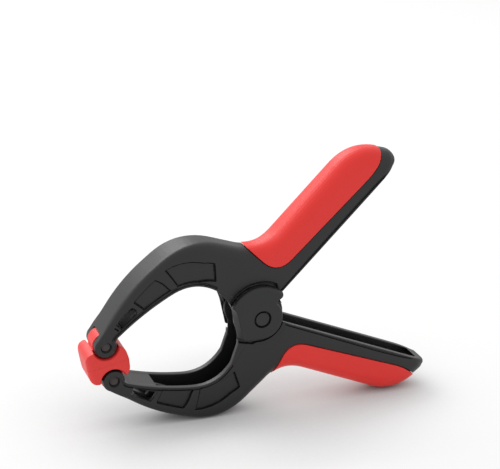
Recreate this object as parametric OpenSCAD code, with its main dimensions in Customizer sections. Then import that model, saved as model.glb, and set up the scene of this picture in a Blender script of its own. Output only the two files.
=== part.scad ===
// Spring clamp with two moulded arms, soft grips, swivelling jaw pads and a torsion spring.
// Millimetres, +Z up. The closed clamp stands on the back of its lower jaw and the end of its
// lower handle, jaws towards -X, pivot along Y. The origin is under the middle of its box.
//
// Places on an arm are given as [ahead, out]: how far ahead of the pivot, towards the jaws, and
// how far out from the clamp's centre line. A bend adds its reach: how far the curve that
// rounds it goes along each side. The lower arm is the upper one turned over about the pivot.

/* [Arms] */
// Width of an arm across its two side walls
arm_w = 17.6; // [15:0.1:22]
// Thickness of the side walls
side_wall = 2.6; // [2.4:0.1:3.2]
// Thickness of the back that joins the side walls
back_wall = 3; // [2.5:0.1:4]
// Rounding of the back's edges along the jaw
jaw_edge = 2.4; // [1:0.1:3.5]
// Rounding of the back's edges along the handle
handle_edge = 8; // [5:0.1:8.4]
// Rounding of the edges at the jaw tip
tip_edge = 1; // [0.5:0.1:2]

/* [Jaws] */
// Distance from the pivot to the pad pins, along the clamp
jaw_reach = 74; // [70:0.5:80]
// Distance of a pad pin from the centre line when the jaws are closed
pin_out = 9; // [8:0.1:11]
// Radius of the round tip about its pad pin
tip_r = 5.2; // [4.8:0.1:6]
// Bend of the jaw's back behind the tip
shoulder = [54, 34.5, 13]; // [0:0.5:60]
// Bend at the top of the jaw's back
crest = [26.2, 48.7, 17]; // [0:0.1:60]
// Bend of the jaw's inner edge behind the tip
lip = [53.7, 21.1, 13]; // [0:0.1:60]
// Bend at the deepest place of the mouth
mouth = [27, 28.3, 13]; // [0:0.1:60]
// Thickness of the plate that closes the channel near the tip
tip_plate = 2.2; // [1.6:0.1:3]
// Length of that plate behind the pad pin
tip_plate_l = 18; // [12:0.5:24]
// Thickness of the web along the middle of the jaw's channel
web_t = 2.2; // [1.6:0.1:3]
// Distance of the web's edge below the jaw's inner edge, near the tip
web_drop = 1.6; // [0.6:0.1:4]
// The same distance in the rear half of the jaw
web_fall = 9; // [5:0.1:11]
// Depth of the shallow pockets in the side walls
pocket_depth = 1.1; // [0.4:0.1:1.4]

/* [Handles] */
// Bend where the back turns into the handle
waist = [-7.5, 29.7, 12.5]; // [-20:0.1:40]
// Bend at the highest place of the handle's back, near its end
heel = [-62, 67.2, 14]; // [-80:0.1:80]
// Bend at the far end of the handle
toe = [-82.9, 57.3, 2.8]; // [-90:0.1:70]
// Slope of the handle's inner edge against the centre line, in degrees
handle_slope = 33.6; // [31:0.1:36]
// Distance ahead of the pivot's middle at which that edge starts
handle_root = 2; // [0:0.1:4]
// Length of that edge from its start to the handle's end
rim_l = 98.4; // [94:0.1:100]

/* [Grips] */
// Thickness of the soft grips
grip_t = 1.6; // [1.2:0.1:2]
// How far a grip stands proud of the arm
grip_proud = 0.35; // [0.1:0.05:0.8]
// Lower front bend of the grip's edge on the side wall
grip_front = [-12.4, 18, 10]; // [-30:0.1:30]
// Bend of the grip's edge near the handle's end
grip_rear = [-69.5, 53.8, 7]; // [-80:0.1:60]

/* [Pivot] */
// Radius of the pivot pin
pin_r = 3.7; // [3:0.1:4]
// How deep the pin's ends lie in the ears
pin_sink = 0.4; // [0.1:0.1:1]
// Radius of the upper arm's ears
ear_r = 10.1; // [9.6:0.1:11.2]
// How far these ears stand out from the side walls
ear_proud = 4.6; // [3.6:0.1:5.6]
// Radius of the domes that carry the ears, at the side wall
dome_r = 16; // [15.4:0.1:17.4]
// Radius of the domes at the ears' faces
dome_face_r = 14; // [12:0.1:14.6]
// Radius of the lower arm's ears, which run inside the upper ones
inner_ear_r = 12.4; // [11.6:0.1:13]
// Depth of the groove in a lower ear round the upper one
ear_groove = 1.2; // [0.6:0.1:1.4]
// Depth of the recess in the lower arm under an upper ear
ear_recess = 0.6; // [0.4:0.1:1]
// Radius of that recess
recess_r = 15.6; // [14.5:0.1:17]

/* [Spring] */
// Diameter of the spring wire
wire_d = 2.2; // [1.8:0.1:2.4]
// Mean radius of the coil
coil_r = 8.2; // [7.6:0.1:9]
// Length of a spring leg from the pivot
leg_l = 40; // [30:1:50]
// Width of the seat that a leg presses on
seat_w = 3; // [2:0.1:4]
// Length of that seat
seat_l = 12; // [8:0.5:16]

/* [Pads] */
// Length of a pad along the clamp
pad_l = 19.8; // [18:0.1:20]
// Width of a pad
pad_w = 17.2; // [14:0.1:20]
// Rounding of a pad's outer corners
pad_corner = 3.6; // [1.5:0.1:3.8]
// How far the pad's horns stop short of its pin's centre
horn_drop = 0.9; // [0.6:0.1:2]
// Width of the slot in the jaw tip
slot_w = 9.4; // [8:0.1:10]
// Radius of the hub that fills the slot
hub_r = 5.5; // [4.8:0.1:5.8]
// Radius of the pad pins
pad_pin_r = 2.1; // [1.6:0.1:2.4]
// How deep a pad pin's ends lie in the jaw tip
pad_pin_sink = 1.2; // [0.2:0.1:2]

/* [Clearances] */
// Running gap of the pins in their bores, on the radius
bore_gap = 0.06; // [0.02:0.01:0.1]
// Gap between the faces of parts that turn on each other
turn_gap = 0.3; // [0.2:0.05:0.5]
// Gap between two turns of the spring's wire
coil_gap = 0.5; // [0.45:0.01:0.6]
// Least gap between the coil's ends and the ears beside them
coil_end_gap = 0.2; // [0.1:0.05:0.4]
// Gap between the coil and the sleeve inside it
sleeve_gap = 0.8; // [0.5:0.1:1.5]
// Gap between the pads with the jaws closed
pad_gap = 0.1; // [0.05:0.05:0.4]
// Gap between a jaw tip and the saddle of its pad
saddle_gap = 1.2; // [0.6:0.05:1.2]
// Gap between a pad's hub and the end of the slot in the jaw tip
hub_gap = 0.7; // [0.4:0.1:1]

/* [Hidden] */
nylon = "#2b2c2d";
soft_red = "#d8362c";
steel = "#8c8f92";
black_steel = "#3a3b3c";
$fn = 96;
eps = 0.02;
big = 300;

// ---- Outlines ----
bend_steps = 6; // pieces in each rounded bend
slope = [-cos(handle_slope), sin(handle_slope)]; // along the handle's inner edge
pad_pin = [jaw_reach, pin_out];
function on_handle(d) = [handle_root, 0] + slope * d; // along the inner edge, d from its start

function xy(p) = [p[0], p[1]];
function unit(v) = v / norm(v);
function lerp(a, b, t) = a + (b - a) * t;
function left(v) = [-v[1], v[0]];
function curve(a, b, c, t) = lerp(lerp(a, b, t), lerp(b, c, t), t);

// One rounded bend: the points of the curve that rounds corner b between a and c.
function bend(a, b, c) =
    let (p = xy(b), s = p + unit(xy(a) - p) * b[2], e = p + unit(xy(c) - p) * b[2])
    [for (k = [0:bend_steps]) curve(s, p, e, k / bend_steps)];

// A line through corners [ahead, out, reach], with its first and last point as they are.
function rounded(corners) = concat(
    [xy(corners[0])],
    [for (i = [1:len(corners) - 2]) each bend(corners[i - 1], corners[i], corners[i + 1])],
    [xy(corners[len(corners) - 1])]
);

// The back leaves the round tip square to the line from the pin to the back.
tip_side = unit(left(unit(pad_pin - xy(shoulder))));
tip_blend = 0.12; // the arm starts this far inside the round tip
tip_out = pad_pin + tip_side * (tip_r - tip_blend);
tip_in = pad_pin - tip_side * tip_r * 0.8;
chin = pad_pin + [0.4 - tip_r, 2.4]; // where the inner edge leaves the round tip
root = [3.4, 0.6]; // where it turns into the handle, just ahead of the pivot
toe_end = on_handle(rim_l) + [-1.1, 0.5]; // keeps the last rib open
heel_pair = rim_l - 18.6; // places on the handle's edge that pair off with the heel
toe_pair = rim_l - 4.6; // and with the toe

// The back and the inner edge have as many corners, so that their points pair off into ribs.
back = rounded([
    tip_out, concat(lerp(tip_out, xy(shoulder), 0.3), 4),
    shoulder, crest, waist, heel, toe, toe_end
]);
edge = rounded([
    tip_in, concat(chin, 2.2),
    lip, mouth, concat(root, 8), concat(on_handle(heel_pair), 8), concat(on_handle(toe_pair), 4),
    on_handle(rim_l)
]);
ribs = len(back) - 1; // the ribs are numbered 0 to this
per_bend = bend_steps + 1;
crest_rib = 1 + 2 * per_bend;
waist_rib = 1 + 3 * per_bend;
heel_rib = 1 + 4 * per_bend;

function clamp01(t) = max(0, min(1, t));
function ease(t) = let (c = clamp01(t)) c * c * (3 - 2 * c);
function rib_w(i) = arm_w * sqrt(1 - 0.7 * pow(clamp01((i - heel_rib - 4) / (ribs - heel_rib - 4)), 3));
function rib_edge(i) =
    i < crest_rib ? lerp(tip_edge, jaw_edge, ease(i / crest_rib * 2))
    : lerp(jaw_edge, handle_edge, ease((i - crest_rib) / (waist_rib + 4 - crest_rib)));

// A place on rib s (may lie between two ribs), a share f of the way from its edge to its back.
function on_rib(s, f) =
    let (i = min(ribs - 1, floor(s)), t = s - i)
    lerp(lerp(edge[i], edge[i + 1], t), lerp(back[i], back[i + 1], t), f);

// Places on rib i at a distance d from the edge, or from the back.
function from_edge(i, d) = edge[i] + unit(back[i] - edge[i]) * d;
function from_back(i, d) = back[i] - unit(back[i] - edge[i]) * d;

// A section at rib i, as [x, y, z] points round the outside. It runs from foot to top, counted
// from the edge, and is w wide to each side. Its upper corners are rounded by r as far as fits.
edge_steps = 4;
function section(i, foot, top, w, r) =
    let (
        q = min(r, 0.8 * top, 0.94 * w),
        turn = [for (k = [0:edge_steps]) 90 * k / edge_steps],
        half = concat([[foot, w]], [for (t = turn) [top - q + q * sin(t), w - q + q * cos(t)]]),
        whole = concat(half, [for (k = [len(half) - 1:-1:0]) [half[k][0], -half[k][1]]])
    )
    [for (p = whole) let (at = from_edge(i, p[0])) [-at[0], p[1], at[1]]];
function rib_h(i) = norm(back[i] - edge[i]);

// The solid arm between two ribs, without its channel, with its outer skin moved in by inset.
module skin(inset = 0, first = 0, last = ribs) {
    loft([for (i = [first:last]) section(
        i, 0, rib_h(i) - inset, rib_w(i) / 2 - inset, rib_edge(i) - max(0, inset)
    )]);
}

// A closed skin through rings of as many points.
module loft(rings) {
    n = len(rings[0]);
    m = len(rings) - 1;
    polyhedron(
        [for (r = rings) each r],
        concat(
            [[for (k = [0:n - 1]) k]],
            [for (i = [0:m - 1], k = [0:n - 1]) let (j = (k + 1) % n) each [
                [i * n + k, i * n + n + k, i * n + n + j],
                [i * n + k, i * n + n + j, i * n + j]
            ]],
            [[for (k = [n - 1:-1:0]) m * n + k]]
        ),
        convexity = 6
    );
}

// A flat shape given in [ahead, out] places, w wide about the middle plane.
module plate(w) {
    mirror([1, 0, 0]) rotate([90, 0, 0]) translate([0, 0, -w / 2]) linear_extrude(w) children();
}

// A round bar along Y about a place on the arm.
module bar(at, r, w) {
    translate([-at[0], 0, at[1]]) rotate([90, 0, 0]) cylinder(r = r, h = w, center = true);
}

// The two mirrored copies of a shape on the -Y side.
module both_sides() {
    children();
    mirror([0, 1, 0]) children();
}

// ---- Arms ----
in_w = arm_w - 2 * side_wall; // inside the channel
ear_in = arm_w / 2 - ear_recess; // outer face of the lower ears
ear_face = arm_w / 2 + ear_proud; // outer face of the upper ears
inner_ear_boss = 0.4; // the lower ears stand this far into the channel
dome_lap = 0.1; // how deep a dome's foot lies in the side wall
recess_rise = 1.4; // the recess round a lower ear is this much narrower at its floor
seat_reach = 14; // the seat runs this far from the leg, into the back
back_lap = (back_wall + grip_t) / 2; // the web and the seat end this deep in the back
channel_end = ribs - 3; // the last rib that the channel reaches
least_edge = 0.4; // rounding of the channel's corners in the jaw, at least
tip_relief = 0.2; // the round tip is this much narrower on each side
tip_solid = 8.5; // solid length behind a pad pin

// The inside of the channel, open beyond the inner edge. Its walls follow the skin.
module channel() {
    intersection() {
        loft([for (i = [2:channel_end]) section(
            i, -side_wall, rib_h(i) - back_wall, rib_w(i) / 2 - side_wall,
            max(least_edge, rib_edge(i) - back_wall)
        )]);
        translate([-jaw_reach + tip_solid, -big / 2, -big / 2]) cube(big);
    }
}

// A flat shape on the side of the jaw. Its corners are [rib, share of the way to the back], its
// sides follow the jaw's curves, and r rounds its corners.
module pocket_shape(corners, r) {
    n = len(corners);
    side_steps = 4;
    offset(r = r, $fn = 16) offset(delta = -r) polygon([
        for (i = [0:n - 1], k = [0:side_steps - 1])
            let (c = lerp(corners[i], corners[(i + 1) % n], k / side_steps)) on_rib(c[0], c[1])
    ]);
}

window = [[7.75, 0.2], [7.25, 0.63], [9.6, 0.63], [10.3, 0.2]];
front_pocket = [[11.1, 0.14], [10.6, 0.58], [13.9, 0.64], [15.3, 0.15]];
rear_pocket = [
    [16, 0.15], [15.4, 0.64], [17.3, 0.6], [19.2, 0.54], [20.5, 0.57], [21, 0.2], [18.6, 0.15]
];
module pockets() {
    both_sides() translate([0, -arm_w / 2, 0]) plate(2 * pocket_depth) {
        pocket_shape(front_pocket, 0.8);
        pocket_shape(rear_pocket, 0.8);
    }
    plate(2 * arm_w) pocket_shape(window, 0.5);
}

// The web along the channel's middle and the plate that closes it near the tip.
web_even = 10; // the web's edge runs evenly up to this rib, and then falls
module stiffeners() {
    plate(web_t) polygon(concat(
        [for (i = [2:waist_rib - 1]) from_edge(i, lerp(web_drop, web_fall, ease((i - web_even) / 8)))],
        [for (i = [waist_rib - 1:-1:2]) from_back(i, back_lap)]
    ));
    plate(in_w + side_wall) intersection() {
        polygon(concat(
            [for (i = [2:waist_rib]) edge[i]],
            [for (i = [waist_rib:-1:2]) from_edge(i, tip_plate)]
        ));
        translate([jaw_reach - tip_plate_l, 0]) square([tip_plate_l, big]);
    }
}

// The block in the handle that the spring's leg presses on. It hangs from the inside of the
// back down to the leg.
leg_side = [sin(handle_slope), cos(handle_slope)]; // from the leg towards the back
spring_r = coil_r + wire_d / 2;
part_turn = (180 - 2 * handle_slope) / 360; // besides whole turns, it points the legs apart
coil_pitch = wire_d + coil_gap;
coil_room = in_w - 2 * (inner_ear_boss + coil_end_gap); // between the ears
coil_turns = floor((coil_room - wire_d) / coil_pitch - part_turn) + part_turn;
leg_y = coil_turns * coil_pitch / 2; // the legs lie this far from the middle plane
module spring_seat(y) {
    s = leg_side * (spring_r + turn_gap);
    e = leg_side * (spring_r + seat_reach);
    intersection() {
        translate([0, y, 0]) plate(seat_w) polygon([
            s + slope * (leg_l - seat_l), s + slope * leg_l,
            e + slope * (leg_l + seat_w), e + slope * (leg_l - seat_l - seat_w)
        ]);
        skin(back_lap, waist_rib, ribs);
    }
}

// The part of the side view that a grip covers: from its front seam, down over the side wall,
// back along the handle and up at the handle's end.
seam_top = [5.6, 43.7]; // the front seam leaves the back below this place
module grip_region() {
    plate(2 * arm_w) polygon(rounded([
        xy(waist) + [20, 30], concat(seam_top, 6), grip_front, grip_rear,
        xy(grip_rear) + [-9, 13.2]
    ]));
}

// One arm in the upper arm's place, with the spring seat at y, before its ears are made.
module arm_blank(seat_y) {
    difference() {
        union() {
            difference() {
                union() {
                    skin();
                    bar(pad_pin, tip_r, arm_w - 2 * tip_relief);
                }
                difference() {
                    grip_region();
                    skin(grip_t, waist_rib - 8, ribs);
                }
                channel();
            }
            stiffeners();
            spring_seat(seat_y);
        }
        pockets();
        bar(pad_pin, hub_r + hub_gap, slot_w);
        bar(pad_pin, pad_pin_r + bore_gap, 2 * arm_w);
    }
}

// The ear's outline beyond the round part: straight towards the jaws, drawn in at the handle.
module ear_region() {
    plate(big) polygon([
        [ear_r + 0.2, -4.4], [ear_r + 0.2, 8], [14.5, 13], [14, 30], [-16, 30], [-17, 14],
        [-11, 12], [-10.8, 9.6], [-9.6, 8.1], [-8.4, 6.6], [-8.4, 5.1], [-9.5, 2.1], [0, -4.4]
    ]);
}

module upper_ear() {
    inner = ear_in + turn_gap;
    mirror([0, 1, 0]) {
        translate([0, inner, 0]) rotate([-90, 0, 0]) cylinder(r = ear_r, h = ear_face - inner);
        intersection() {
            union() {
                translate([0, arm_w / 2 - dome_lap, 0]) rotate([-90, 0, 0])
                    cylinder(r1 = dome_r, r2 = dome_face_r, h = ear_proud + dome_lap);
                translate([0, inner, 0]) rotate([-90, 0, 0])
                    cylinder(r = dome_r, h = arm_w / 2 - dome_lap - inner);
            }
            ear_region();
        }
    }
}

module upper_arm_shape() {
    difference() {
        union() {
            difference() {
                arm_blank(leg_y);
                bar([0, 0], inner_ear_r + turn_gap, 2 * (ear_in + turn_gap));
            }
            both_sides() upper_ear();
        }
        bar([0, 0], pin_r + bore_gap, big);
    }
}

module lower_arm_shape() {
    difference() {
        union() {
            difference() {
                arm_blank(leg_y);
                bar([0, 0], spring_r + hub_gap, in_w);
            }
            both_sides() translate([0, -ear_in - eps, 0]) rotate([-90, 0, 0])
                cylinder(r = inner_ear_r, h = ear_in - in_w / 2 + inner_ear_boss);
        }
        both_sides() translate([0, -arm_w / 2 - eps, 0]) rotate([-90, 0, 0])
            cylinder(r1 = recess_r, r2 = recess_r - recess_rise, h = ear_recess + eps);
        both_sides() translate([0, -ear_in - eps, 0]) rotate([-90, 0, 0]) difference() {
            cylinder(r = inner_ear_r, h = ear_groove + eps);
            cylinder(r = ear_r + turn_gap, h = big, center = true);
        }
        bar([0, 0], pin_r + bore_gap, big);
    }
}

module grip_shape() {
    difference() {
        intersection() {
            skin(-grip_proud, waist_rib - 8, ribs);
            grip_region();
        }
        skin(grip_t, waist_rib - 8, ribs);
    }
}

// ---- Pads ----
pad_h = pin_out - pad_gap / 2; // from the pin to the gripping face
module pad_shape() {
    top = pin_out - horn_drop;
    difference() {
        union() {
            plate(pad_w) translate([jaw_reach - pad_l / 2, -pad_corner])
                offset(r = pad_corner) offset(delta = -pad_corner) square([pad_l, top + pad_corner]);
            bar(pad_pin, hub_r, slot_w - 2 * turn_gap);
        }
        both_sides() translate([0, turn_gap - (slot_w + big) / 2, 0])
            bar(pad_pin, tip_r + saddle_gap, big);
        bar(pad_pin, pad_pin_r + bore_gap, big);
        translate([-big, -big, -big * 2 + pad_gap / 2]) cube(big * 2);
    }
}

// ---- Spring ----
wire_rings = 8; // rings in one turn

// The wire's middle line in the coil, with so many points in each turn. It starts where the
// lower leg leaves the coil, square to that leg.
function coil_path(per_turn) =
    let (a0 = 270 - handle_slope, n = ceil(coil_turns * per_turn))
    [for (k = [0:n]) let (q = a0 - 360 * coil_turns * k / n)
        [coil_r * cos(q), leg_y * (2 * k / n - 1), coil_r * sin(q)]];

// The whole wire: in along the lower leg, round the coil and out along the upper leg.
function wire_path() =
    let (
        coil = coil_path(wire_rings), low = coil[0], high = coil[len(coil) - 1],
        down = [cos(handle_slope), 0, -sin(handle_slope)], up = [down[0], 0, -down[2]]
    )
    concat(
        [for (d = [leg_l, leg_l / 2]) low + down * d],
        coil,
        [for (d = [leg_l / 2, leg_l]) high + up * d]
    );

// The least gap between two turns, measured on close points at least half a turn apart.
function least_gap(path, apart) = min([
    for (i = [0:len(path) - 1 - apart], j = [i + apart:len(path) - 1]) norm(path[i] - path[j])
]) - wire_d;
echo(str("least gap of the spring's wire to itself, mm: ", least_gap(coil_path(36), 18)));

module tube(path, r, sides = 6) {
    last = len(path) - 1;
    function along(i) = unit(path[min(i + 1, last)] - path[max(i - 1, 0)]);
    ring = [for (i = [0:last]) let (
        t = along(i), u = unit(cross(t, [0, 1, 0])), v = cross(u, t)
    ) each [for (k = [0:sides - 1]) path[i] + r * (cos(360 * k / sides) * u + sin(360 * k / sides) * v)]];
    polyhedron(ring, concat(
        [[for (k = [sides - 1:-1:0]) k]],
        [for (i = [0:last - 1], k = [0:sides - 1])
            let (j = (k + 1) % sides, a = i * sides, b = a + sides)
            each [[a + k, a + j, b + j], [a + k, b + j, b + k]]],
        [[for (k = [0:sides - 1]) last * sides + k]]
    ), convexity = 8);
}

// ---- Placing ----
// The clamp stands on the crest of the lower jaw and the heel of the lower handle: of all lines
// from a heel point to a crest point, this is the one that both curves stay above.
function proud_back(i) = from_back(i, i > waist_rib ? -grip_proud : 0);
crest_points = [for (i = [crest_rib - per_bend:crest_rib + per_bend]) proud_back(i)];
heel_points = [for (i = [heel_rib:heel_rib + per_bend]) proud_back(i)];
tilt = -atan(min([for (h = heel_points) max([for (c = crest_points) (c[1] - h[1]) / (c[0] - h[0])])]));
pivot_z = max([for (c = crest_points) c[0] * sin(tilt) + c[1] * cos(tilt)]);
function lower_x(p) = -p[0] * cos(tilt) + p[1] * sin(tilt);
rear_x = max([for (p = back) lower_x(p)]);
front_x = -(jaw_reach + pad_l / 2 - pad_corner) * cos(tilt)
    - (pin_out - horn_drop - pad_corner) * sin(tilt) - pad_corner;

module placed() {
    translate([-(front_x + rear_x) / 2, 0, pivot_z]) rotate([0, -tilt, 0]) children();
}

// The lower half is the upper one turned over, so that each spring leg finds its own seat.
module lower() {
    placed() rotate([180, 0, 0]) children();
}

module lower_arm() { color(nylon) lower() lower_arm_shape(); }
module upper_arm() { color(nylon) placed() upper_arm_shape(); }
module lower_grip() { color(soft_red) lower() grip_shape(); }
module upper_grip() { color(soft_red) placed() grip_shape(); }
module lower_pad() { color(soft_red) lower() pad_shape(); }
module upper_pad() { color(soft_red) placed() pad_shape(); }
module lower_pad_pin() { color(steel) lower() bar(pad_pin, pad_pin_r, arm_w - 2 * pad_pin_sink); }
module upper_pad_pin() { color(steel) placed() bar(pad_pin, pad_pin_r, arm_w - 2 * pad_pin_sink); }
module pivot_pin() { color(black_steel) placed() bar([0, 0], pin_r, 2 * (ear_face - pin_sink)); }
module spring_sleeve() {
    color(nylon) placed() difference() {
        bar([0, 0], spring_r - wire_d - sleeve_gap, in_w - 2 * inner_ear_boss - 2 * turn_gap);
        bar([0, 0], pin_r + bore_gap, big);
    }
}
module torsion_spring() { color(steel) placed() tube(wire_path(), wire_d / 2); }

lower_arm();
upper_arm();
lower_grip();
upper_grip();
lower_pad();
upper_pad();
lower_pad_pin();
upper_pad_pin();
pivot_pin();
spring_sleeve();
torsion_spring();
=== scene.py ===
"""Hand spring clamp: moulded arms, soft grips, swivelling jaw pads and their spring, in metres.

An arm is modelled in the place of the upper one with the pivot at the origin: -X towards the jaws, Z
away from the clamp's middle. Places in that view are [ahead, out] in millimetres. A finished piece is
turned into its place at the pivot; the lower half is turned over first.
"""
import math
import bmesh
import bpy
from mathutils import Matrix, Vector


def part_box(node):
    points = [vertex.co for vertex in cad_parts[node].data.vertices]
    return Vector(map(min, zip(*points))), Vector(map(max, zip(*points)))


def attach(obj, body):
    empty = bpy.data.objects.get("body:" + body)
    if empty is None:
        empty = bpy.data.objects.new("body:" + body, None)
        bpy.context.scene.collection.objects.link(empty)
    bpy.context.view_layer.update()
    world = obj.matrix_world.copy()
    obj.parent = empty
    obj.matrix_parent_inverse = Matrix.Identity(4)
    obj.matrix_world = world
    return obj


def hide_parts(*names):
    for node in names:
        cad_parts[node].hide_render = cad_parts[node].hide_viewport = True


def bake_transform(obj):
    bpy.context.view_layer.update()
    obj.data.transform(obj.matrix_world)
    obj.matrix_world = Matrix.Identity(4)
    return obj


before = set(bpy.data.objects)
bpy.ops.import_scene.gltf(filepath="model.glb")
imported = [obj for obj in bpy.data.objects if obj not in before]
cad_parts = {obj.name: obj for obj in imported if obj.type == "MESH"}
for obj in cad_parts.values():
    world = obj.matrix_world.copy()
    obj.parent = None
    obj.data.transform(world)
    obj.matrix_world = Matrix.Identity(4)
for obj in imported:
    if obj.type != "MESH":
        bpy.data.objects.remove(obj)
bpy.ops.object.select_all(action="DESELECT")
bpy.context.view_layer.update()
scene = bpy.context.scene
MM = 0.001

# ---- The clamp's own places, from its pins ----
def middle(node):
    """The middle of a CAD node's box."""
    low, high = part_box(node)
    return (Vector(low) + Vector(high)) / 2


pivot = middle("pivot_pin")
upper_pin, lower_pin = middle("upper_pad_pin"), middle("lower_pad_pin")
ahead = (upper_pin + lower_pin) / 2 - pivot
jaw_reach = ahead.length / MM
pin_out = (upper_pin - lower_pin).length / 2 / MM
ahead.normalize()
away = (upper_pin - lower_pin).normalized()
to_upper = Matrix.Translation(pivot) @ Matrix((-ahead, Vector((0, 1, 0)), away)).transposed().to_4x4()
to_lower = to_upper @ Matrix.Rotation(math.pi, 4, "X")

# ---- Sizes, in mm ----
# An arm's walls, how far its back's edges are rounded at tip, jaw and handle, and its toe's taper.
arm_w, side_wall, back_wall = 17.6, 2.6, 3.0
in_w = arm_w - 2 * side_wall
tip_edge, jaw_edge, handle_edge, toe_taper = 1.0, 2.4, 8.0, 0.7
# The rim along the arm's edge, as [height, out]: a proud lip and a fine groove above it.
LIP = [(0, 0.15), (0.15, 0.35), (0.95, 0.35), (1.05, -0.75), (1.75, -0.75), (1.95, 0)]
lip_h = 2.05
# The round tip, and the slot in it for the pad's hub.
tip_r, tip_solid, tip_thinner, tip_round = 5.2, 8.5, 0.4, 1
slot_w, hub_r, hub_gap = 9.4, 5.5, 0.7
# The web across the channel, its depth below the edge in the jaw and past it, and the tip's plate.
web_t, web_drop, web_fall, tip_plate, tip_plate_l = 2.2, 1.6, 9, 2.2, 21
pocket_depth, pocket_groove, groove_w, slit_depth = 1.1, 0.7, 0.55, 1.5
grip_t, grip_proud, seam = 1.6, 0.35, 0.3
# The handle's inner edge: its slope, where its line meets the pivot's level, and its end.
handle_slope, handle_root, rim_l = math.radians(34.3), -1.4, 94.2
# The pivot: its pin, with a ring round it in the ear, and the ears, set into shallow recesses.
pin_r, pin_sink, bore_gap, turn_gap = 3.7, 0.4, 0.06, 0.3
ring_w, ring_depth = 0.5, 1.4
ear_r, ear_proud, dome_r, inner_ear_r, inner_ear_boss = 10.1, 4.6, 16, 12.4, 0.4
ear_recess, recess_r, recess_slope = 0.6, 15.6, 1.4
ear_in, ear_face = arm_w / 2 - ear_recess, arm_w / 2 + ear_proud
# The spring, the seats that hold its legs, and the sleeve inside the coil.
wire_d, coil_r, coil_gap, leg_l, sleeve_gap = 2.2, 8.2, 0.5, 40, 0.8
spring_r = coil_r + wire_d / 2
seat_w, seat_l, seat_h = 3, 12, 14
# A pad, its horns and its saddle round the tip, and the pad's pin with a ring round it.
pad_l, pad_ahead, pad_w, pad_gap = 20.4, 0.7, 17.2, 0.06
pad_corner, pad_round, horn_drop, saddle_gap, saddle_flare = 3.6, 0.7, 0.9, 0.8, 0.6
pad_pin_r, pad_pin_sink, pad_ring_w, pad_ring_depth = 2.1, 1.2, 0.45, 1
pad_pin = Vector((jaw_reach, pin_out))
along = Vector((-math.cos(handle_slope), math.sin(handle_slope)))  # along the handle's inner edge
BEND = 12  # pieces in each rounded bend
arm_voxel, grip_voxel, pad_voxel = 0.22, 0.3, 0.2  # the finest detail that a skin keeps
arm_faces, grip_faces, pad_faces = 195000, 150000, 100000  # the most triangles in a skin


# ---- Outlines ----
def on_handle(d):
    """A place on the handle's inner edge, d mm along it."""
    return Vector((handle_root, 0)) + along * d


def bend(a, b, c, steps):
    """The bend at b of the line from a to c, rounded over b's reach on both sides."""
    p = Vector(b[:2])
    s = p + (Vector(a[:2]) - p).normalized() * b[2]
    e = p + (Vector(c[:2]) - p).normalized() * b[2]
    return [s.lerp(p, k / steps).lerp(p.lerp(e, k / steps), k / steps) for k in range(steps + 1)]


def rounded(corners, steps=BEND):
    """A line through corners [ahead, out, reach of the bend], with its ends as they are."""
    line = [Vector(corners[0][:2])]
    for a, b, c in zip(corners, corners[1:], corners[2:]):
        line += bend(a, b, c, steps)
    return line + [Vector(corners[-1][:2])]


# The corners of an arm's back and inner edge, with the reach of each bend.
shoulder, crest, nose, mouth = (57.3, 32.9, 13), (26.2, 48.7, 17), (53.2, 20.2, 13), (27, 28.3, 13)
waist, heel, toe, root = (-7.5, 29.7, 12.5), (-62, 67.2, 14), (-82.3, 57.9, 4.4), (-1.2, 0.6, 8)
back_dir = (pad_pin - Vector(shoulder[:2])).normalized()
tip_side = Vector((-back_dir.y, back_dir.x))  # square to the back, and outwards
tip_out, tip_in = pad_pin + tip_side * (tip_r - 0.12), pad_pin - tip_side * tip_r * 0.8


def outline(steps):
    """The arm's back and inner edge from tip to toe, as matching places: one pair for each rib."""
    back = rounded([tip_out, (*tip_out.lerp(Vector(shoulder[:2]), 0.3), 4), shoulder, crest, waist,
                    heel, toe, on_handle(rim_l) + Vector((-1.1, 0.5))], steps)
    edge = rounded([tip_in, (pad_pin.x + 0.4 - tip_r, pad_pin.y + 2.4, 2.2), nose, mouth, root,
                    (*on_handle(rim_l - 18.6), 8), (*on_handle(rim_l - 4.6), 4), on_handle(rim_l)],
                   steps)
    return back, edge


back, edge = outline(BEND)
ribs = len(back) - 1
crest_rib, waist_rib, heel_rib = (1 + k * (BEND + 1) for k in (2, 3, 4))  # where these bends begin
waist_end, taper_start = (rib + 4 * BEND / 6 for rib in (waist_rib, heel_rib))
channel_start, channel_end = 3, ribs - 4


def ease(t):
    """A smooth step from 0 to 1."""
    t = min(max(t, 0), 1)
    return t * t * (3 - 2 * t)


def rib_w(i):
    """The arm's width at rib i: even, and drawn in towards the handle's toe."""
    t = min(max((i - taper_start) / (ribs - taper_start), 0), 1)
    return arm_w * math.sqrt(1 - toe_taper * t ** 3)


def rib_edge(i):
    """How far the back's edges are rounded at rib i."""
    if i < crest_rib:
        return tip_edge + (jaw_edge - tip_edge) * ease(i / crest_rib * 2)
    return jaw_edge + (handle_edge - jaw_edge) * ease((i - crest_rib) / (waist_end - crest_rib))


def rib_dir(i):
    """The way from the edge to the back at rib i."""
    return (back[i] - edge[i]).normalized()


def height(i):
    return (back[i] - edge[i]).length


def section(i, foot, top, wide, r, lip=(), steps=8):
    """A section at rib i, from foot to top (counted from the edge), as points round the outside."""
    r = min(r, 0.8 * top, 0.94 * wide)
    low = min(1, (top - r) / lip_h)
    half = [(h * low, wide + out) for h, out in lip] or [(foot, wide)]
    half += [(top - r + r * math.sin(q), wide - r + r * math.cos(q))
             for q in (math.radians(90 * k / steps) for k in range(steps + 1))]
    ring = half + [(h, -w) for h, w in reversed(half)]
    return [Vector((-(edge[i] + rib_dir(i) * h).x, w, (edge[i] + rib_dir(i) * h).y)) for h, w in ring]


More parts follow.
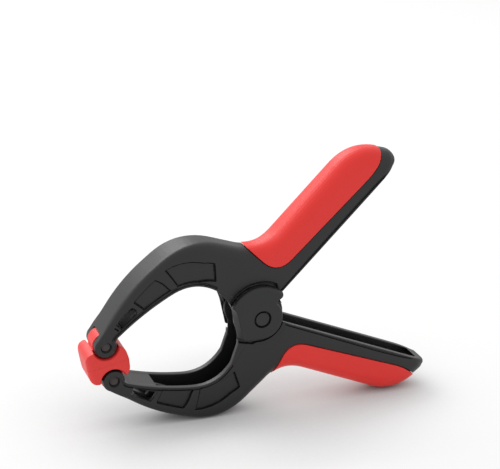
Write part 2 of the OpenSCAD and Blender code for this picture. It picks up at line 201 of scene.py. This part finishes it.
# ---- Modelling ----
def finished_edit():
    """Leaves edit mode."""
    bpy.ops.object.mode_set(mode="OBJECT")
    return bpy.context.object


def named(name):
    """Names the piece just made."""
    bpy.context.object.name = bpy.context.object.data.name = name
    return bpy.context.object


def loft(name, rings):
    """A closed skin through rings of as many points (mm), extruded from one ring to the next."""
    bpy.ops.mesh.primitive_circle_add(vertices=len(rings[0]), radius=1, fill_type="NGON")
    piece = named(name)
    bpy.ops.object.mode_set(mode="EDIT")
    mesh = bmesh.from_edit_mesh(piece.data)
    mesh.verts.ensure_lookup_table()
    for v, p in zip(mesh.verts, rings[0]):
        v.co = p * MM
    for last, ring in zip(rings, rings[1:]):
        bpy.ops.mesh.extrude_region_move()
        mesh = bmesh.from_edit_mesh(piece.data)
        for v in [v for v in mesh.verts if v.select]:  # each lies on a point of the last ring
            v.co = ring[min(range(len(last)), key=lambda k: (last[k] * MM - v.co).length_squared)] * MM
    bpy.ops.mesh.select_all(action="SELECT")
    bpy.ops.mesh.normals_make_consistent(inside=False)
    bmesh.update_edit_mesh(piece.data)
    return finished_edit()


def prism(name, points, width, y=0.0):
    """An outline of [ahead, out] places, width mm thick about the plane at y."""
    bpy.ops.mesh.primitive_circle_add(vertices=len(points), radius=1, fill_type="NGON")
    piece = named(name)
    bpy.ops.object.mode_set(mode="EDIT")
    mesh = bmesh.from_edit_mesh(piece.data)
    mesh.verts.ensure_lookup_table()
    for v, p in zip(mesh.verts, points):
        v.co = Vector((-p[0], y - width / 2, p[1])) * MM
    bpy.ops.mesh.extrude_region_move(TRANSFORM_OT_translate={"value": (0, width * MM, 0)})
    bpy.ops.mesh.select_all(action="SELECT")
    bpy.ops.mesh.normals_make_consistent(inside=False)
    return finished_edit()


def bar(name, at, r, width, y=0.0, r2=None, sides=96):
    """A round bar along Y about a place; r2 is its radius at its +Y end."""
    r2 = r if r2 is None else r2
    bpy.ops.mesh.primitive_cone_add(vertices=sides, radius1=r * MM, radius2=r2 * MM, depth=width * MM,
                                    location=(-at[0] * MM, y * MM, at[1] * MM),
                                    rotation=(-math.pi / 2, 0, 0))
    bpy.ops.object.transform_apply(location=True, rotation=True, scale=True)
    return named(name)


def active(piece):
    """Makes a piece the only selected and the active one."""
    bpy.ops.object.select_all(action="DESELECT")
    piece.select_set(True)
    bpy.context.view_layer.objects.active = piece


def modify(piece, kind, **settings):
    """Adds a modifier with its settings and applies it."""
    active(piece)
    made = piece.modifiers.new(kind.title(), kind)
    for key, value in settings.items():
        setattr(made, key, value)
    bpy.ops.object.modifier_apply(modifier=made.name)


def carve(piece, how, *tools):
    """Joins, cuts or meets a piece with others, one by one, and uses them up."""
    for tool in tools:
        modify(piece, "BOOLEAN", object=tool, operation=how, solver="MANIFOLD")
        bpy.data.objects.remove(tool)
    return piece


def copied(piece, name):
    """A copy with its own mesh."""
    twin = piece.copy()
    twin.data = piece.data.copy()
    twin.name = twin.data.name = name
    scene.collection.objects.link(twin)
    return twin


def round_edges(piece, width, segments=4, angle=35):
    """Rounds all edges sharper than the angle."""
    modify(piece, "BEVEL", width=width * MM, segments=segments, limit_method="ANGLE",
           angle_limit=math.radians(angle), harden_normals=False)


def moulded(piece, voxel, smooth, most):
    """Melts the built-up shape into one skin with the small fillets of a moulding."""
    modify(piece, "REMESH", mode="VOXEL", voxel_size=voxel * MM, adaptivity=0)
    modify(piece, "SMOOTH", factor=0.5, iterations=smooth)
    count = len(piece.data.polygons) * 2
    if count > most:
        modify(piece, "DECIMATE", ratio=most / count)
    active(piece)
    bpy.ops.object.shade_smooth()
    return piece


def placed(piece, matrix, body, slot, material, *nodes):
    """Turns a finished piece into its place, gives it its material and body, and hides the CAD nodes it
    stands in for.
    """
    piece.data.transform(matrix)
    piece.data.update()
    piece.data.materials.clear()
    piece.data.materials.append(material)
    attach(piece, body)
    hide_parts(*nodes)
    return piece


# ---- Arms ----
def rib_at(s, share, coarse=outline(6)):
    """A place on rib s of the evenly spaced ribs, a share of the way from the edge to the back."""
    i = min(int(s), len(coarse[0]) - 2)
    t = s - i
    low = coarse[1][i].lerp(coarse[1][i + 1], t)
    return low.lerp(coarse[0][i].lerp(coarse[0][i + 1], t), share)


def on_jaw(corners, n=8):
    """An outline on the jaw's side through corners [rib, share], its sides curved as the jaw is."""
    pairs = list(zip(corners, corners[1:] + corners[:1]))
    return [rib_at(a[0] + (b[0] - a[0]) * k / n, a[1] + (b[1] - a[1]) * k / n)
            for a, b in pairs for k in range(n)]


def shrunk(points, by):
    """A closed outline moved in by so much."""
    turned = sum(a.cross(b) for a, b in zip(points, points[1:] + points[:1]))
    moved = []
    for a, b, c in zip(points[-1:] + points[:-1], points, points[1:] + points[:1]):
        m, n = ((q - p).normalized() for p, q in ((a, b), (b, c)))
        m, n = Vector((-m.y, m.x)), Vector((-n.y, n.x))
        moved.append(b + (m + n) / (1 + m.dot(n)) * (by if turned > 0 else -by))
    return moved


def skin(name, inset=0.0, first=0, last=ribs, lip=()):
    """The arm's outer form between two ribs, moved in by so much."""
    return loft(name, [
        section(i, 0, height(i) - inset, rib_w(i) / 2 - inset, rib_edge(i) - max(0, inset), lip)
        for i in range(first, last + 1)])


GRIP_FIRST = waist_rib - 2 * BEND
grip_outline = rounded([(12.5, 59.7), (5.6, 43.7, 6), (-12.4, 18, 10), (-69.5, 53.8, 7), (-78.5, 67)],
                       16)


def grip_zone(name, grow=0.0):
    """The part of the arm that the grip covers, seen from the side, or a little more of it."""
    if not grow:
        return prism(name, grip_outline, 40)
    n = len(grip_outline)
    wider = []
    for i, p in enumerate(grip_outline):
        step = (grip_outline[min(i + 1, n - 1)] - grip_outline[max(i - 1, 0)]).normalized()
        wider.append(p + Vector((step.y, -step.x)) * grow)
    centre = sum(grip_outline, Vector((0, 0))) / n
    if (wider[n // 2] - centre).length < (grip_outline[n // 2] - centre).length:  # the wrong side
        wider = [p * 2 - q for p, q in zip(grip_outline, wider)]
    return prism(name, wider, 40)


# Openings and pockets in the jaws' sides, as [rib, share].
UPPER_WINDOW = [(7.85, 0.2), (7.4, 0.6), (10.0, 0.62), (10.4, 0.36), (10.2, 0.2)]
LOWER_WINDOW = [(7.6, 0.2), (7.1, 0.6), (9.8, 0.66), (10.6, 0.2)]
TIP_SLIT = [(7.3, 0.25), (6.95, 0.56), (7.15, 0.56), (7.5, 0.25)]
FRONT_POCKET = [(11.1, 0.11), (10.5, 0.66), (13.8, 0.72), (15.3, 0.1)]
REAR_POCKET = [(16, 0.1), (15.2, 0.75), (17.3, 0.66), (19.2, 0.58), (20.5, 0.6), (20.8, 0.2),
               (18.6, 0.1)]
WEB_EVEN = 2 + BEND + BEND // 3  # the web's edge runs evenly up to this rib, and then falls


def channel():
    """The hollow between the side walls, open along the inner edge."""
    shape = loft("channel", [
        section(i, -side_wall, height(i) - back_wall, rib_w(i) / 2 - side_wall,
                max(0.4, rib_edge(i) - back_wall)) for i in range(channel_start, channel_end)])
    front = jaw_reach - tip_solid
    room = prism("channel_room", [(-100, -50), (front, -50), (front, 100), (-100, 100)], 40)
    return carve(shape, "INTERSECT", room)


def arm_blank():
    """The arm before its ears: skin, round tip, channel with web and tip plate, pockets, grip bed."""
    arm = skin("arm", lip=LIP)
    tip = bar("tip", pad_pin, tip_r, arm_w - tip_thinner)
    round_edges(tip, tip_round)
    carve(arm, "UNION", tip)
    bed = grip_zone("bed", seam)
    carve(bed, "DIFFERENCE", skin("bed_core", grip_t, GRIP_FIRST))
    carve(arm, "DIFFERENCE", bed, channel())
    lap = (back_wall + grip_t) / 2
    rows = range(channel_start, waist_rib)
    drops = [web_drop + (web_fall - web_drop) * ease((i - WEB_EVEN) / 1.25 / BEND) for i in rows]
    web = prism("web", [edge[i] + rib_dir(i) * drop for i, drop in zip(rows, drops)]
                + [back[i] - rib_dir(i) * lap for i in reversed(rows)], web_t)
    front = [i for i in rows if edge[i].x > jaw_reach - tip_plate_l]
    plate = prism("tip_plate", [edge[i] + rib_dir(i) * 0.1 for i in front]
                  + [edge[i] + rib_dir(i) * tip_plate for i in reversed(front)], in_w + side_wall)
    leg_side = Vector((math.sin(handle_slope), math.cos(handle_slope)))
    near, far = leg_side * (spring_r + turn_gap), leg_side * (spring_r + seat_h)
    seat = prism("seat", [near + along * (leg_l - seat_l), near + along * leg_l,
                          far + along * (leg_l + seat_w), far + along * (leg_l - seat_l - seat_w)],
                 seat_w, leg_y)
    carve(seat, "INTERSECT", skin("seat_room", lap, waist_rib))
    carve(arm, "UNION", web, plate, seat, cheek(-1), cheek(1))
    for side in (-1, 1):
        for corners in (FRONT_POCKET, REAR_POCKET):
            shape = on_jaw(corners)
            groove = prism("groove", shape, 2 * (pocket_depth + pocket_groove), side * arm_w / 2)
            carve(groove, "DIFFERENCE", prism("floor", shrunk(shape, groove_w), 4 * arm_w))
            pocket = prism("pocket", shape, 2 * pocket_depth, side * arm_w / 2)
            carve(arm, "DIFFERENCE", pocket, groove)
        carve(arm, "DIFFERENCE", bar("bore_mouth", pad_pin, pad_pin_r + pad_ring_w, 2 * pad_ring_depth,
                                     side * arm_w / 2))
    carve(arm, "DIFFERENCE", bar("slot", pad_pin, hub_r + hub_gap, slot_w),
          bar("bore", pad_pin, pad_pin_r + bore_gap, 2 * arm_w))
    return arm


# The coil's turns, and how far to each side its legs lie.
part_turn = (math.pi - 2 * handle_slope) / (2 * math.pi)  # from one leg round to the other
coil_turns = 3 + part_turn
leg_y = coil_turns * (wire_d + coil_gap) / 2
front_u = ear_r + 1.2  # how far ahead of the pivot the side walls begin
dome_edge, disc_edge = 3.2, 0.7  # how far the edges of the ear's dome and face are rounded
front_foot, front_face = front_u + 2, front_u - 0.2  # the ear's front slants from its foot to its face
# The groove over the dome, within its zone.
crease_in, crease_out, crease_depth, crease_at = dome_r - 0.6, dome_r + 1.1, 1.5, (-0.4, 0.2)
CREASE_ZONE = [(12.4, 6), (12.4, 30), (-11.3, 30), (-11.3, 7)]
# The gap round the ear's foot, wider below it, and its corner at the front.
moat_r, moat_depth, moat_at, moat_u = 12.5, 1.4, (-0.1, 1.2), front_u + 1.2
MOAT_CORNER = [(0, 5), (moat_u, 5), (moat_u, 10.2), (6, 13.2), (0, 13.2)]


def ear_outline(front):
    """The ear's outline, with its straight front at that place ahead of the pivot."""
    return rounded([(0, -8), (5.2, -9.3, 0.1), (front - 0.3, -7.3, 0.8), (front, 8, 3), (14.5, 13, 2),
                    (14, 30, 1), (-16, 30, 1), (-17, 14, 1), (-12.6, 12.8, 1.2), (-12.5, 8.2, 1.9),
                    (-8.4, 6.5, 1.4), (-8.2, 4.6, 1), (-9.6, 1.2, 1), (-0.1, -8)], 5)


def cheek(side):
    """The front of a side wall beside its ear, where the mouth ends."""
    end = crest_rib + BEND
    front = rounded([(front_u + 1.9, front_u), (front_u + 0.5, 6, 4), (front_u, 0.3)], 6)
    return prism("cheek", [edge[end] + rib_dir(end) * side_wall, edge[end]] + front
                 + [Vector((0.3, 0.3)), Vector((0.3, front_u))],
                 side_wall, side * (arm_w - side_wall) / 2)


def upper_arm_piece(blank):
    """The upper arm, with the domed outer ears."""
    arm = copied(blank, "upper_arm_moulding")
    carve(arm, "DIFFERENCE", prism("window", on_jaw(UPPER_WINDOW), 2 * arm_w))
    carve(arm, "DIFFERENCE", bar("ear_room", (0, 0), inner_ear_r + turn_gap, 2 * (ear_in + turn_gap)))
    inner = ear_in + turn_gap
    for side in (-1, 1):
        disc = bar("disc", (0, 0), ear_r, ear_face - inner, side * (ear_face + inner) / 2)
        round_edges(disc, disc_edge)
        dome = bar("dome", (0, 0), dome_r, ear_face - inner, side * (ear_face + inner) / 2)
        round_edges(dome, dome_edge, 10)
        rings = [[Vector((-u, side * y, v)) for u, v in ear_outline(front)]
                 for y, front in ((inner - 1, front_foot), (ear_face + 1, front_face))]
        carve(dome, "INTERSECT", loft("ear_zone", rings))
        crease = bar("crease", crease_at, crease_out, 2 * crease_depth, side * arm_w / 2)
        carve(crease, "DIFFERENCE", bar("crease_core", (0, 0), crease_in, 4 * arm_w))
        carve(crease, "INTERSECT", prism("crease_zone", CREASE_ZONE, 4 * arm_w))
        carve(arm, "DIFFERENCE", crease)
        carve(arm, "UNION", disc, dome)
        carve(arm, "DIFFERENCE",
              bar("bore_mouth", (0, 0), pin_r + ring_w, 2 * ring_depth, side * ear_face),
              prism("slit", on_jaw(TIP_SLIT), 2 * slit_depth, side * arm_w / 2))
    carve(arm, "DIFFERENCE", bar("bore", (0, 0), pin_r + bore_gap, 60))
    return arm


def lower_arm_piece(blank):
    """The lower arm, with the plain ears that run inside the upper ones."""
    arm = copied(blank, "lower_arm_moulding")
    carve(arm, "DIFFERENCE", prism("window", on_jaw(LOWER_WINDOW), 2 * arm_w))
    carve(arm, "DIFFERENCE", bar("coil_room", (0, 0), spring_r + hub_gap, in_w))
    for side in (-1, 1):
        inner = in_w / 2 - inner_ear_boss
        ear = bar("ear", (0, 0), inner_ear_r, ear_in - inner, side * (ear_in + inner) / 2)
        carve(arm, "UNION", ear)
        ends = (recess_r - recess_slope, recess_r + recess_slope)
        cut = bar("recess", (0, 0), ends[side < 0], 2 * ear_recess, side * arm_w / 2, ends[side > 0])
        moat = bar("moat", moat_at, moat_r, 2 * moat_depth, side * ear_in)
        carve(moat, "UNION", prism("corner", MOAT_CORNER, 2 * moat_depth, side * ear_in))
        carve(moat, "DIFFERENCE", bar("ear_face", (0, 0), ear_r + turn_gap, 60))
        carve(arm, "DIFFERENCE", cut, moat)
    carve(arm, "DIFFERENCE", bar("bore", (0, 0), pin_r + bore_gap, 60))
    return arm


def grip_piece():
    """The soft sleeve over the back of a handle."""
    grip = skin("grip", -grip_proud, GRIP_FIRST)
    carve(grip, "INTERSECT", grip_zone("grip_zone"))
    carve(grip, "DIFFERENCE", skin("grip_core", grip_t, GRIP_FIRST))
    return grip


def pad_piece():
    """A pad: a block with soft corners, a saddle with a flared mouth on each side, and its hub."""
    top, base = pin_out - horn_drop, -2
    low, high = jaw_reach + pad_ahead - pad_l / 2, jaw_reach + pad_ahead + pad_l / 2
    side_view = rounded([(jaw_reach, base), (low, base, 0.3), (low + 1.2, top, pad_corner + 1.4),
                         (high - 0.3, top, pad_corner + 0.9), (high, base, 0.3),
                         (jaw_reach + 0.1, base)], 10)
    pad = prism("pad", side_view, pad_w)
    wide = pad_w / 2
    plan = rounded([(jaw_reach, -wide), (low, -wide, 1.6), (low, wide, 1.6), (high, wide, 3.2),
                    (high, -wide, 3.2), (jaw_reach + 0.1, -wide)], 8)
    carve(pad, "INTERSECT", loft("pad_plan", [[Vector((-u, y, v)) for u, y in plan] for v in (-1, 12)]))
    round_edges(pad, pad_round, 4, 50)
    saddle_r, inner = tip_r + saddle_gap, slot_w / 2 - turn_gap
    for side in (-1, 1):
        flare = (saddle_r, saddle_r + saddle_flare)
        carve(pad, "DIFFERENCE", bar("saddle", pad_pin, saddle_r, 20, side * (inner + 10)),
              bar("saddle_mouth", pad_pin, flare[side < 0], 1.2, side * (wide - 0.5), flare[side > 0]))
    carve(pad, "UNION", bar("hub", pad_pin, hub_r, 2 * inner))
    carve(pad, "DIFFERENCE", bar("bore", pad_pin, pad_pin_r + bore_gap, 40))
    return pad


# ---- Materials ----
drift_mm, sheen = 30, 0.42  # the slow drift of colour, and how much the plastics reflect


def colour(hex_code):
    """An sRGB hex colour as linear values."""
    parts = [int(hex_code[k:k + 2], 16) / 255 for k in (1, 3, 5)]
    return [c / 12.92 if c <= 0.04045 else ((c + 0.055) / 1.055) ** 2.4 for c in parts] + [1]


def add(tree, kind, sockets=(), **settings):
    """Adds a node with its settings; sockets are set to values or linked to other outputs."""
    made = tree.nodes.new(kind)
    for key, value in settings.items():
        setattr(made, key, value)
    for key, value in dict(sockets).items():
        if isinstance(value, bpy.types.NodeSocket):
            tree.links.new(value, made.inputs[key])
        else:
            made.inputs[key].default_value = value
    return made


def surface(name):
    """A new material and its empty node tree."""
    made = bpy.data.materials.new(name)
    made.use_nodes = True
    made.node_tree.nodes.clear()
    return made, made.node_tree


def grained(name, dark, light, roughness, grain_mm, depth, rough_swing=0.08, **shader):
    """A moulded or worked surface: a fine grain in its height and gloss, a slow drift in its colour."""
    made, tree = surface(name)
    place = add(tree, "ShaderNodeTexCoord").outputs["Object"]
    slow = add(tree, "ShaderNodeTexNoise", {"Vector": place, "Scale": 1 / (drift_mm * MM), "Detail": 2})
    tone = add(tree, "ShaderNodeMix",
               {"Factor": slow.outputs["Fac"], "A": colour(dark), "B": colour(light)}, data_type="RGBA")
    fine = add(tree, "ShaderNodeTexNoise", {"Vector": place, "Scale": 1 / (grain_mm * MM), "Detail": 2})
    gloss = add(tree, "ShaderNodeMapRange",
                {"Value": fine.outputs["Fac"], "To Min": roughness - rough_swing,
                 "To Max": roughness + rough_swing})
    bump = add(tree, "ShaderNodeBump",
               {"Height": fine.outputs["Fac"], "Strength": 0.6, "Distance": depth * MM})
    skin_shader = add(tree, "ShaderNodeBsdfPrincipled",
                      {"Base Color": tone.outputs["Result"], "Roughness": gloss.outputs["Result"],
                       "Normal": bump.outputs["Normal"], **shader})
    add(tree, "ShaderNodeOutputMaterial", {"Surface": skin_shader.outputs["BSDF"]})
    return made


# Glass-filled nylon, moulded in a spark-eroded tool: near-black, matte, with a fine even grain.
arm_nylon = grained("moulded_glass_filled_nylon", "#161617", "#1b1b1c", 0.44, 0.3, 0.04,
                    **{"IOR": 1.53, "Specular IOR Level": sheen})
# Thermoplastic rubber moulded over the nylon: deep red, soft, with a dull even sheen.
grip_rubber = grained("overmoulded_soft_rubber", "#e92c27", "#f0352e", 0.46, 0.4, 0.03,
                      **{"IOR": 1.5, "Specular IOR Level": sheen})
# Tough nylon, moulded and a little glossier than the grips.
pad_plastic = grained("moulded_red_nylon", "#e22f2b", "#e93833", 0.45, 0.3, 0.02,
                      **{"IOR": 1.53, "Specular IOR Level": sheen})
# Mild steel pins, cut from bar: dark grey, with a reddish tint that is a painted reflection of the red
# pads.
pin_steel = grained("steel_pin_with_painted_red_reflection", "#454040", "#524b4a", 0.42, 0.25, 0.02, **{"Metallic": 1.0})
# The pivot's steel, chemically blackened.
pivot_steel = grained("black_oxide_steel", "#2c2c2e", "#343537", 0.5, 0.25, 0.02, **{"Metallic": 0.4})
# Oil-tempered spring wire: grey, smooth, drawn.
spring_steel = grained("oil_tempered_wire", "#70757a", "#7f858a", 0.34, 0.35, 0.02, **{"Metallic": 1.0})

# ---- The pieces ----
blank = arm_blank()
lower = lower_arm_piece(blank)
upper = upper_arm_piece(blank)
bpy.data.objects.remove(blank)
moulded(upper, arm_voxel, 3, arm_faces)
moulded(lower, arm_voxel, 3, arm_faces)
placed(upper, to_upper, "upper_half", "arm_nylon", arm_nylon, "upper_arm")
placed(lower, to_lower, "lower_half", "arm_nylon", arm_nylon, "lower_arm")

grip = moulded(grip_piece(), grip_voxel, 3, grip_faces)
lower_grip = copied(grip, "lower_grip_skin")
grip.name = grip.data.name = "upper_grip_skin"
placed(grip, to_upper, "upper_half", "grip_rubber", grip_rubber, "upper_grip")
placed(lower_grip, to_lower, "lower_half", "grip_rubber", grip_rubber, "lower_grip")

pad = moulded(pad_piece(), pad_voxel, 5, pad_faces)
jaw_side = [(0, pad_gap / 2), (200, pad_gap / 2), (200, 40), (0, 40)]
carve(pad, "INTERSECT", prism("jaw_side", jaw_side, 100))  # its flat face, sharp-edged
active(pad)
bpy.ops.object.shade_smooth_by_angle(angle=math.radians(50))
lower_pad = copied(pad, "lower_jaw_pad")
pad.name = pad.data.name = "upper_jaw_pad"
placed(pad, to_upper, "upper_pad", "pad_plastic", pad_plastic, "upper_pad")
placed(lower_pad, to_lower, "lower_pad", "pad_plastic", pad_plastic, "lower_pad")

end_groove, pin_round = 0.15, 0.2


def ended(pin, inset, depth):
    """Gives a pin's two ends a turned ring."""
    active(pin)
    bpy.ops.object.mode_set(mode="EDIT")
    bpy.ops.mesh.select_all(action="DESELECT")
    mesh = bmesh.from_edit_mesh(pin.data)
    for face in mesh.faces:  # the two ends
        face.select = abs(face.normal.y) > 0.9
    bmesh.update_edit_mesh(pin.data)
    bpy.ops.mesh.inset(thickness=inset * MM, depth=0)
    bpy.ops.mesh.inset(thickness=end_groove * MM, depth=-depth * MM)
    return finished_edit()


def pin_piece(name, at, r, width, inset, depth, neck=0.0, neck_r=0.0):
    """A pin with a turned ring in its ends, and with a thinner neck at each end where one is given."""
    pin = bar(name, at, r, width - 2 * neck, sides=64)
    if neck:
        carve(pin, "UNION", bar("neck", at, neck_r, width, sides=64))
    ended(pin, inset, depth)
    round_edges(pin, pin_round, 3)
    active(pin)
    bpy.ops.object.shade_smooth_by_angle(angle=math.radians(40))
    return pin


for body, matrix in (("upper_half", to_upper), ("lower_half", to_lower)):
    half = body.split("_")[0]
    pin = pin_piece(half + "_jaw_pin", pad_pin, pad_pin_r, arm_w - 2 * pad_pin_sink,
                    inset=0.5, depth=0.2)
    placed(pin, matrix, body, "pin_steel", pin_steel, half + "_pad_pin")
pivot_piece = pin_piece("pivot_rivet", (0, 0), pin_r, 2 * (ear_face - pin_sink), inset=0.5, depth=0.1,
                        neck=1.2, neck_r=pin_r - 0.4)
placed(pivot_piece, to_upper, "upper_half", "pivot_steel", pivot_steel, "pivot_pin")

sleeve_w = in_w - 2 * inner_ear_boss - 2 * turn_gap
sleeve = bar("coil_sleeve", (0, 0), spring_r - wire_d - sleeve_gap, sleeve_w)
carve(sleeve, "DIFFERENCE", bar("bore", (0, 0), pin_r + bore_gap, 40))
round_edges(sleeve, 0.3, 3)
active(sleeve)
bpy.ops.object.shade_smooth_by_angle(angle=math.radians(40))
placed(sleeve, to_upper, "upper_half", "arm_nylon", arm_nylon, "spring_sleeve")


def wire_path(per_turn=24):
    """The wire's middle line: in along the lower leg, round the coil and out along the upper leg."""
    start, n = 1.5 * math.pi - handle_slope, math.ceil(coil_turns * per_turn)
    turned = [start - 2 * math.pi * coil_turns * k / n for k in range(n + 1)]
    coil = [Vector((coil_r * math.cos(q), leg_y * (2 * k / n - 1), coil_r * math.sin(q)))
            for k, q in enumerate(turned)]
    down = Vector((math.cos(handle_slope), 0, -math.sin(handle_slope)))
    up = Vector((down.x, 0, -down.z))
    legs = [leg_l, leg_l - 0.4, leg_l * 0.75, leg_l * 0.5, leg_l * 0.25, 2]
    return [coil[0] + down * d for d in legs] + coil + [coil[-1] + up * d for d in reversed(legs)]


def wire(name, path, sides=14):
    """A round wire along a path."""
    rings = []
    for i, p in enumerate(path):
        t = (path[min(i + 1, len(path) - 1)] - path[max(i - 1, 0)]).normalized()
        u = t.cross(Vector((0, 1, 0))).normalized()
        v = u.cross(t)
        r = wire_d / 2 * (0.78 if i in (0, len(path) - 1) else 1)  # blunt ends
        rings.append([p + (u * math.cos(q) + v * math.sin(q)) * r
                      for q in (2 * math.pi * k / sides for k in range(sides))])
    return loft(name, rings)


spring = wire("wound_spring", wire_path())
active(spring)
bpy.ops.object.shade_smooth_by_angle(angle=math.radians(50))
spring.data.transform(to_upper)
spring.data.materials.append(spring_steel)
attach(spring, "lower_half")
spring.parent = None
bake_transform(spring)
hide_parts("torsion_spring")

# ---- Floor, light and camera ----
def seen_directly(tree):
    """1 for what the camera, a reflection or a clear piece shows, and 0 for what gives light."""
    path = add(tree, "ShaderNodeLightPath")
    mirrored = add(tree, "ShaderNodeMath", {0: path.outputs["Is Glossy Ray"],
                                            1: path.outputs["Is Transmission Ray"]}, operation="ADD")
    return add(tree, "ShaderNodeMath", {0: path.outputs["Is Camera Ray"], 1: mirrored.outputs[0]},
               operation="ADD", use_clamp=True)


bpy.ops.mesh.primitive_plane_add(size=30, location=(0, 0, -0.0004))  # just clear of the clamp
floor = named("floor")
painted_shadow_reach, painted_shadow_power, floor_glow, sky_level = 0.07, 1.5, 0.68, 0.72
# White paper: seen directly it is lifted to white by a glow. Close under the clamp the glow fades by
# ambient occlusion, a painted shadow.
floor_paper, tree = surface("white_paper_sweep")
seen = seen_directly(tree)
paper = add(tree, "ShaderNodeBsdfDiffuse", {"Color": colour("#f0f0f0")})
shaded = add(tree, "ShaderNodeBsdfDiffuse", {"Color": colour("#969696")})
# Painted shadow: the glow is dimmed where ambient occlusion finds the clamp close by.
painted_shadow_ao = add(tree, "ShaderNodeAmbientOcclusion", {"Distance": painted_shadow_reach}, samples=16)
soft = add(tree, "ShaderNodeMath", {0: painted_shadow_ao.outputs["AO"], 1: painted_shadow_power}, operation="POWER")
share = add(tree, "ShaderNodeMath", {0: soft.outputs[0], 1: floor_glow}, operation="MULTIPLY")
glow = add(tree, "ShaderNodeEmission", {"Color": colour("#ffffff"), "Strength": share.outputs[0]})
lift = add(tree, "ShaderNodeAddShader")
tree.links.new(shaded.outputs[0], lift.inputs[0])
tree.links.new(glow.outputs[0], lift.inputs[1])
both = add(tree, "ShaderNodeMixShader", {"Fac": seen.outputs[0]})
tree.links.new(paper.outputs[0], both.inputs[1])
tree.links.new(lift.outputs[0], both.inputs[2])
add(tree, "ShaderNodeOutputMaterial", {"Surface": both.outputs[0]})
floor.data.materials.append(floor_paper)

# An even studio: it lights at the sky's level, and is white where it is seen.
world = bpy.data.worlds.new("studio")
scene.world = world
world.use_nodes = True
tree = world.node_tree
tree.nodes.clear()
seen = seen_directly(tree)
dim = add(tree, "ShaderNodeBackground", {"Color": colour("#ffffff"), "Strength": sky_level})
white = add(tree, "ShaderNodeBackground", {"Color": colour("#ffffff"), "Strength": 1.0})
both = add(tree, "ShaderNodeMixShader", {"Fac": seen.outputs[0]})
tree.links.new(dim.outputs[0], both.inputs[1])
tree.links.new(white.outputs[0], both.inputs[2])
add(tree, "ShaderNodeOutputWorld", {"Surface": both.outputs[0]})


def softbox(name, at, target, width, height, watts):
    """A rectangular studio lamp at a place, facing the target."""
    bpy.ops.object.light_add(type="AREA", location=at)
    lamp = bpy.context.object
    lamp.name = name
    lamp.data.shape, lamp.data.energy = "RECTANGLE", watts
    lamp.data.size, lamp.data.size_y = width, height
    lamp.rotation_euler = (Vector(target) - Vector(at)).to_track_quat("-Z", "Y").to_euler()


softbox("back_softbox", (-0.3, 0.85, 0.85), (0, 0, 0.05), 1.0, 0.6, 8.2)
softbox("left_softbox", (-0.9, 0.2, 0.5), (0, 0, 0.05), 0.6, 0.5, 1.2)

camera_data = bpy.data.cameras.new("camera")
camera = bpy.data.objects.new("camera", camera_data)
scene.collection.objects.link(camera)
scene.camera = camera
camera_data.sensor_width, camera_data.lens = 36, 104.305
camera_data.clip_start, camera_data.clip_end = 0.01, 50
# It stands off from the near end of the pivot, level to about a degree.
azimuth, elevation, roll, swing = (math.radians(a) for a in (-20.848, 20.450, -1.123, -0.471))
behind = Vector((math.sin(azimuth) * math.cos(elevation), -math.cos(azimuth) * math.cos(elevation),
                 math.sin(elevation)))
level = Vector((math.cos(azimuth), math.sin(azimuth), 0))
upright = behind.cross(level)
right = level * math.cos(roll) - upright * math.sin(roll)
top = level * math.sin(roll) + upright * math.cos(roll)
near_pivot = pivot - Vector((0, arm_w / 2 * MM, 0))
turn = Matrix.Rotation(swing, 4, "Y")
stand_off = Matrix.Translation((-0.227206, -0.581842, 0.273734))
camera.matrix_world = (Matrix.Translation(near_pivot) @ turn @ stand_off
                       @ Matrix((right, top, behind)).transposed().to_4x4())

scene.view_settings.view_transform = "Standard"
